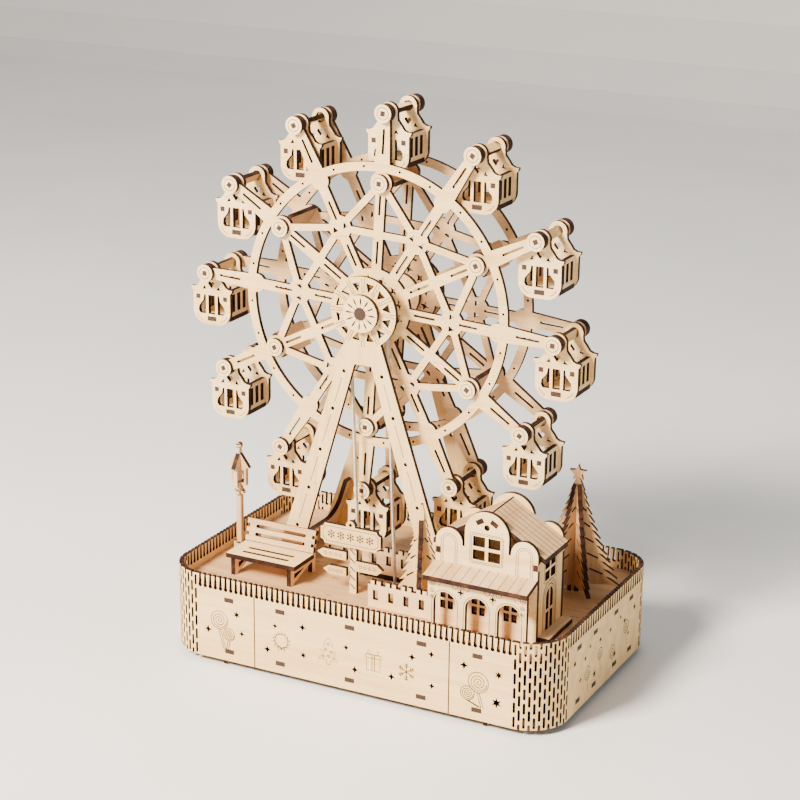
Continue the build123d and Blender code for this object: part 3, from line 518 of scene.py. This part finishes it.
# Motifs on the walls: place along the wall, height and radius, then where a lollipop's stick ends.
FRONT_LOLLIPOPS = ((-90.4, 30.0, 6.0, (-86.5, 11.0)), (-83.6, 21.5, 4.0, (-85.0, 11.0)),
                   (84.3, 28.0, 6.4, (87.0, 12.5)), (77.5, 20.0, 4.4, (85.5, 12.5)))
WREATH, SNOWFLAKE = (-46.6, 25.5, 6.2), (37.9, 24.2, 5.6)
FIR, GIFT = (-14.3, 26.0), (16.0, 26.0)
SIDE_LOLLIPOPS = ((-27.0, 22.0, 4.2), (-8.0, 27.0, 3.6), (12.0, 20.0, 4.2), (34.0, 28.0, 4.0))
SEAM_X, SEAM_FOOT, SEAM_TOP = 65.5, 4.0, 50.0
WALL_LINE_R, WALL_LINE_HALF_W = 0.55, 0.26


def score_walls():
    """Motifs on the front wall and the right-hand wall, and the seams of the front wall."""
    # Thick lines sunk until they show as wide as a score, so that they stand only 0.065 mm out of the wall.
    sunk = math.sqrt(WALL_LINE_R ** 2 - WALL_LINE_HALF_W ** 2)
    scores = Scores("wall_engraving", "base", 2 * WALL_LINE_R, EDGE, 4)
    y = -DEPTH / 2 + sunk
    for sweet in FRONT_LOLLIPOPS:
        lollipop(scores, y, *sweet)
    wreath(scores, y, *WREATH)
    snowflake(scores, y, *SNOWFLAKE)
    fir_motif(scores, y, *FIR)
    gift(scores, y, *GIFT)
    for seam in (-SEAM_X, SEAM_X):
        for shift in (-0.15, 0.15):
            scores.front(y, [(seam + shift, SEAM_FOOT), (seam + shift, SEAM_TOP)])
    x = LENGTH / 2 - sunk
    for at, z, radius in SIDE_LOLLIPOPS:
        scores.side(x, circle(at, z, radius), True)
        scores.side(x, spiral(at, z, radius * 0.8, 2, 36))
        scores.side(x, [(at, z - radius), (at + 1.5, z - radius - 8)])
    scores.done()


DISC_RAY, RAY_SPREAD = (12.2, 21.4), 2.6  # radii of a ray's ends, and degrees to each side of the step
LEG_SLITS = ((0.13, 0.24), (0.30, 0.43), (0.49, 0.61), (0.67, 0.79))  # parts of the way down a leg
CAP_RING_R = 3.7
END_DISC_SLIT = (3.4, 10.6)  # radii of a slit's ends
FRONT_CAP_Y, REAR_CAP_Y = -2.1, 42.1  # outer sides of the peg caps


def spoke_line(scores, y, angle, inner_r, outer_r):
    """Line that points away from the wheel's axle."""
    ends = [polar(radius, angle) for radius in (inner_r, outer_r)]
    scores.front(y, [(AXLE_X + across, AXLE_Z + up) for across, up in ends])


def score_tower():
    """Rays on the bearing discs and slits between the dots of the legs."""
    scores = Scores("tower_engraving", "base", 0.4)
    for node, sign in (("front_a_frame", -1), ("rear_a_frame", 1)):
        low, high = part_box(node)
        y = (low.y if sign < 0 else high.y) / MM
        for ray in range(2 * CABINS):
            angle = STEP * (ray // 2) + (RAY_SPREAD if ray % 2 else -RAY_SPREAD)
            spoke_line(scores, y, angle, *DISC_RAY)
        across, fall = LEG_FOOT[0] - LEG_TOP[0], LEG_FOOT[1] - LEG_TOP[1]
        for side in (-1, 1):
            for slit in LEG_SLITS:
                scores.front(y, [(AXLE_X + side * (LEG_TOP[0] + part * across), LEG_TOP[1] + part * fall)
                                 for part in slit])
    scores.done()


def score_wheel():
    """Rings on the peg caps and slits on the axle's end discs."""
    scores = Scores("wheel_engraving", "wheel", 0.36)
    for y in (FRONT_CAP_Y, REAR_CAP_Y):
        for index, angle in enumerate(SPOKES):
            for circle_r in (CABIN_CIRCLE_R, TIE_CIRCLE_R)[:1 if index % 2 else 2]:
                x, z = polar(circle_r, angle)
                scores.front(y, circle(AXLE_X + x, AXLE_Z + z, CAP_RING_R, 20), True)
    axle_low, axle_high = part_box("wheel_axle")
    for y in (axle_low.y / MM, axle_high.y / MM):
        for slit in range(CABINS):
            spoke_line(scores, y, STEP * slit + WHEEL_TURN, *END_DISC_SLIT)
    scores.done()


def score_cabins():
    """Curved lines inside the lower corners of the cabins' face boards."""
    curve_x, curve_drop, curve_r = 4.5, 26.2, 7.0
    for number, angle in enumerate(SPOKES):
        scores = Scores(f"cabin_{number + 1:02d}_engraving", f"cabin_{number + 1:02d}", 0.36)
        across, up = polar(CABIN_CIRCLE_R, angle)
        x, z = AXLE_X + across, AXLE_Z + up
        for y in (CABIN_FRONT_Y, CABIN_REAR_Y + PLY):
            for side, start, end in ((1, -72, -22), (-1, -108, -158)):
                scores.front(y, arc(x + side * curve_x, z - curve_drop, curve_r, start, end, 8))
        scores.done()


def arched_frame(scores, y, x, foot, spring, radius):
    """Two nested arch outlines."""
    for size in (radius, radius - 1.3):
        scores.front(y, [(x - size, foot)] + arc(x, spring, size, 180, 0) + [(x + size, foot)])


def rounded_frame(width, low, high, corner):
    """Corners of a rectangle with rounded corners, round x = 0."""
    points = []
    for x, z, start in ((width, high, 0), (-width, high, 90), (-width, low, 180), (width, low, 270)):
        inner_x, inner_z = x - math.copysign(corner, x), z - (corner if z == high else -corner)
        points += arc(inner_x, inner_z, corner, start, start + 90, 5)
    return points


# The house's ornaments, by height in mm and half widths round the middle of the house or of a wall.
NICHE_X, NICHE_FOOT, NICHE_SPRING, NICHE_R = 24, 85.6, 98.4, 5.2
FRONT_WINDOW = ((10.6, 88.6, 107.2), (9.7, 89.5, 106.3))  # half width, low and high of the two frames
ARCH_PITCH, ARCH_SHIFT, ARCH_FOOT, ARCH_SPRING, ARCH_R = 20.5, -0.5, 50, 64.2, 8.3
DROP_Z, DROP_HALF_H, DROP_HALF_W = 73, 3.8, 1.9
ROOF_REACH = 35.7  # from the ridge to the eaves, level
ROOF_PLANKS, PORCH_PLANKS = 7, 11
PORCH_TOP_Z, PORCH_EAVES_Z = 85.5, 81.5
SIDE_WALL_Y, SIDE_DOOR_SPRING, SIDE_DOOR_SIZES = -33.5, 70, (8.4, 9.6)


def score_house_front(scores, middle):
    """Niches and window frames of the front board."""
    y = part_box("house_front")[0].y / MM
    for side in (-1, 1):
        arched_frame(scores, y, middle + side * NICHE_X, NICHE_FOOT, NICHE_SPRING, NICHE_R)
    for width, low, high in FRONT_WINDOW:
        scores.front(y, [(middle + x, z) for x, z in rounded_frame(width, low, high, 1.6)], True)


def score_arcade(scores, middle):
    """Arch outlines, the drops between them and the scrolls in the upper corners of the arcade."""
    low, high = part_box("house_arcade")
    y, left, right, top = low.y / MM, low.x / MM, high.x / MM, high.z / MM
    arches = [middle + ARCH_SHIFT + shift for shift in (-ARCH_PITCH, 0.0, ARCH_PITCH)]
    for x in arches:
        arch = arc(x, ARCH_SPRING, ARCH_R, 180, 0, 20)
        scores.front(y, [(x - ARCH_R, ARCH_FOOT)] + arch + [(x + ARCH_R, ARCH_FOOT)])
    for x in (arches[0] + ARCH_PITCH / 2, arches[1] + ARCH_PITCH / 2):
        scores.front(y, [(x, DROP_Z + DROP_HALF_H), (x + DROP_HALF_W, DROP_Z),
                         (x, DROP_Z - DROP_HALF_H), (x - DROP_HALF_W, DROP_Z)], True)
        for side in (-1, 1):
            scores.front(y, arc(x + side * 3.6, 76.2, 1.7, 150, 390, 10))
    for side, x in ((1, left + 2.6), (-1, right - 2.6)):
        for drop, radius in ((2.6, 2.0), (7.0, 1.7), (11.0, 1.4)):
            scores.front(y, spiral(x, top - drop, radius, 2, 26))
        scores.front(y, [(x + side * 1.6, top - 2), (x + side * 6.0, top - 1.4), (x + side * 4.2, top - 4.2)])


def score_roofs(scores, middle):
    """Planks of the house's roof and of the porch roof."""
    ridge_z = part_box("house_roof")[1].z / MM
    eaves_z = ridge_z - ROOF_REACH * math.tan(math.radians(ROOF_SLOPE))
    joints_y = np.linspace(ROOF_FRONT_Y, ROOF_REAR_Y, ROOF_PLANKS + 1)[1:-1]
    for side in (-1, 1):
        for y in joints_y:
            scores.line([(middle, y, ridge_z), (middle + side * ROOF_REACH, y, eaves_z)])
    low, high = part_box("porch_roof")
    for plank in range(1, PORCH_PLANKS):
        x = (low.x + (high.x - low.x) * plank / PORCH_PLANKS) / MM
        scores.line([(x, high.y / MM, PORCH_TOP_Z), (x, low.y / MM, PORCH_EAVES_Z)])


def score_side_walls(scores):
    """Door and window frames of the side walls."""
    low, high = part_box("house_side_walls")
    for x in (low.x / MM, high.x / MM):
        for size in SIDE_DOOR_SIZES:
            arch = arc(SIDE_WALL_Y, SIDE_DOOR_SPRING, size, 180, 0)
            scores.side(x, [(SIDE_WALL_Y - size, DECK)] + arch + [(SIDE_WALL_Y + size, DECK)])
        scores.side(x, [(SIDE_WALL_Y + a, b) for a, b in rounded_frame(8.8, 79.2, 94.8, 1.0)], True)


def score_house():
    """All scored lines of the house."""
    scores = Scores("house_engraving", "base", 0.36)
    front_low, front_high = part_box("house_front")
    middle = (front_low.x + front_high.x) / 2 / MM
    score_house_front(scores, middle)
    score_arcade(scores, middle)
    score_roofs(scores, middle)
    score_side_walls(scores)
    scores.done()


def score_ridge():
    """Burnt groove where the two roof boards meet."""
    groove = Scores("roof_ridge_groove", "base", 1.3, EDGE)
    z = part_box("house_roof")[1].z / MM - 0.35  # sunk, so that little of it stands out
    groove.line([(HOUSE_MIDDLE_X, ROOF_FRONT_Y, z), (HOUSE_MIDDLE_X, ROOF_REAR_Y, z)])
    groove.done()


PLAQUE_X, PLAQUE_Z = -21.0, 83.5
PLAQUE_EDGE = ((16.5, 4.9), (18.9, 2.5))  # upper right corner of the border, cut off
ARROWS = ((-40, -26, 70.5), (-36.5, -26, 60.0), (-16, -3, 65.5))  # from, to and height of the marks
ARROW_MARKS = 4
POST_STRIPES, STRIPE_PITCH, STRIPE_RISE = 5, 5.6, 3.0
SLOT_HALF = 2.6
DECK_SLOTS = ((-112, -52), (-96, -58), (-47, -56), (-33, -47), (-9, -58), (14, -62), (-42, -22), (-66, -4),
              (-92, 22), (-108, 40), (-60, 30), (10, 20), (52, 6), (66, 30), (112, -6), (118, 20), (60, 58))


def score_scenery():
    """Ornaments of the plaque and the arrows."""
    scores = Scores("scenery_engraving", "base", 0.42)
    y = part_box("sign_boards")[0].y / MM
    (near, high), (far, low) = PLAQUE_EDGE
    border = ((-near, -high), (near, -high), (far, -low), (far, low), (near, high), (-near, high), (-far, low),
              (-far, -low))
    scores.front(y, [(PLAQUE_X + across, PLAQUE_Z + up) for across, up in border], True)
    for step in range(-2, 3):
        snowflake(scores, y, PLAQUE_X + 6.6 * step, PLAQUE_Z, 2.6)
    for start, end, height in ARROWS:
        for mark in range(ARROW_MARKS):
            at = start + (end - start) * (mark + 0.5) / ARROW_MARKS
            scores.front(y, circle(at, height, 1.1, 4), True)
    scores.done()


def score_post():
    """Broad slanting stripes of the signpost."""
    stripes = Scores("sign_post_stripes", "base", 1.5, EDGE)
    low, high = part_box("sign_post")
    for stripe in range(POST_STRIPES):
        foot = DECK + 3.2 + stripe * STRIPE_PITCH
        ends = [(low.x / MM + 0.7, foot + STRIPE_RISE), (high.x / MM - 0.7, foot)]
        stripes.front(low.y / MM + 0.35, ends)
    stripes.done()


def score_deck():
    """Short empty slots of the deck."""
    slots = Scores("deck_slots", "base", 1.3, EDGE)
    for x, y in DECK_SLOTS:
        # Painted shade in part: the slots' burnt-edge brown stands both for their burnt walls and for the dark
        # hollow seen through them.
        slots.line([(x - SLOT_HALF, y, DECK - 0.45), (x + SLOT_HALF, y, DECK - 0.45)])
    slots.done()


# ---------------------------------------------------------------------- studio
def soft_light(name, place, aim, size, power, colour="#FFFFFF"):
    """Large square lamp that looks at a point; sizes in metres."""
    lamp = bpy.data.lights.new(name, "AREA")
    lamp.shape = "SQUARE"
    lamp.size = size
    lamp.energy = power
    lamp.color = linear(colour)[:3]
    holder = bpy.data.objects.new(name, lamp)
    holder.location = place
    holder.rotation_euler = (Vector(aim) - Vector(place)).to_track_quat("-Z", "Y").to_euler()
    bpy.context.scene.collection.objects.link(holder)


TABLE_HALF_W, TABLE_FRONT_Y, TABLE_BACK_Y = 6.0, -6.0, 1.8  # metres
CURVE_R, CURVE_STEPS, WALL_RISE = 0.6, 8, 1.2


def make_floor():
    """Pale matt table top that curves up behind the model."""
    section = [(TABLE_FRONT_Y, 0.0), (TABLE_BACK_Y, 0.0)]
    for turn in [math.radians(90 * step / CURVE_STEPS) for step in range(1, CURVE_STEPS + 1)]:
        section.append((TABLE_BACK_Y + math.sin(turn) * CURVE_R, CURVE_R - math.cos(turn) * CURVE_R))
    section.append((TABLE_BACK_Y + CURVE_R, CURVE_R + WALL_RISE))
    vertices = [(side * TABLE_HALF_W, y, z) for y, z in section for side in (-1, 1)]
    quads = [(2 * i, 2 * i + 1, 2 * i + 3, 2 * i + 2) for i in range(len(section) - 1)]
    mesh = bpy.data.meshes.new("table_top")
    mesh.from_pydata(vertices, [], quads)
    floor = bpy.data.objects.new("table_top", mesh)
    bpy.context.scene.collection.objects.link(floor)
    cloud_size, stops = 1000 / 3, ((0.3, "#E6E7E8"), (0.7, "#EFEFEF"))
    mesh.materials.append(speckled("table_top_painted_matt", cloud_size, stops, 0.6)[0])


def make_studio():
    """Pale surroundings, a large soft key light from the left and a weak fill."""
    world = bpy.data.worlds.new("studio")
    bpy.context.scene.world = world
    world.use_nodes = True
    background = world.node_tree.nodes["Background"]
    background.inputs["Color"].default_value = linear("#E8E9EA")
    background.inputs["Strength"].default_value = 0.42
    aim = (0.0, 0.0, 0.15)
    soft_light("key_light", (-0.55, -1.25, 1.25), aim, 0.5, 135.0, "#FFF2E0")
    soft_light("fill_light", (1.4, -0.6, 0.8), aim, 1.0, 2.5, "#FFF8F0")
    soft_light("top_light", (-0.2, 0.5, 1.5), aim, 0.8, 4.0)


def make_camera():
    """Camera a little above and to the right of the front."""
    place = Vector((0.5419, -1.0736, 0.5545))
    yaw, pitch, roll = 0.4743, -0.3152, 0.0095
    lens = bpy.data.cameras.new("camera")
    lens.sensor_width = 36.0
    lens.lens = 94.2
    lens.dof.use_dof = False
    camera = bpy.data.objects.new("camera", lens)
    turn = Matrix.Rotation(yaw, 4, "Z") @ Matrix.Rotation(math.pi / 2 + pitch, 4, "X")
    camera.matrix_world = Matrix.Translation(place) @ turn @ Matrix.Rotation(roll, 4, "Z")
    bpy.context.scene.collection.objects.link(camera)
    bpy.context.scene.camera = camera


make_camera()
dress_boards()
dress_corner_walls()
dress_cabins()
dress_rods()
dress_tenon_ends()
dress_drive()
score_walls()
score_tower()
score_wheel()
score_cabins()
score_house()
score_ridge()
score_scenery()
score_post()
score_deck()
make_floor()
make_studio()
